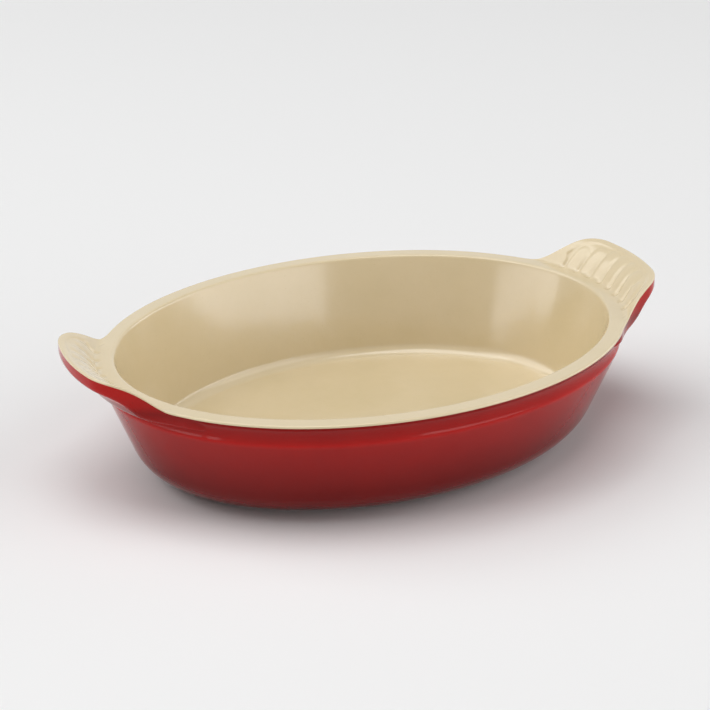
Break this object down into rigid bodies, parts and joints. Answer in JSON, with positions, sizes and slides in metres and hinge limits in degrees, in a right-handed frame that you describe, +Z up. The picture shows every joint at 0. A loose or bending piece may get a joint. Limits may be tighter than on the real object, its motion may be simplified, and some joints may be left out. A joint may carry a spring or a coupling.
{
  "type": "gratin dish",
  "caption": "Oval glazed stoneware baking dish with a flat rim, sloping walls and an upswept ribbed tab handle at each end.",
  "frame": {"origin": "middle of the foot, on the surface that the dish stands on", "axes": "+X along the long axis, through both handles; +Y across the dish; +Z up"},
  "size_m": [0.32, 0.2088, 0.0787],
  "materials": {
    "bare_clay": "matt fired stoneware, bare at the foot ring",
    "cream_glaze": "glossy cream glaze",
    "red_glaze": "glossy deep red glaze"
  },
  "bodies": {
    "root": {"stoneware_body": "bare_clay", "interior_glaze": "cream_glaze", "exterior_glaze": "red_glaze", "underside_glaze": "red_glaze"}
  },
  "joints": []
}
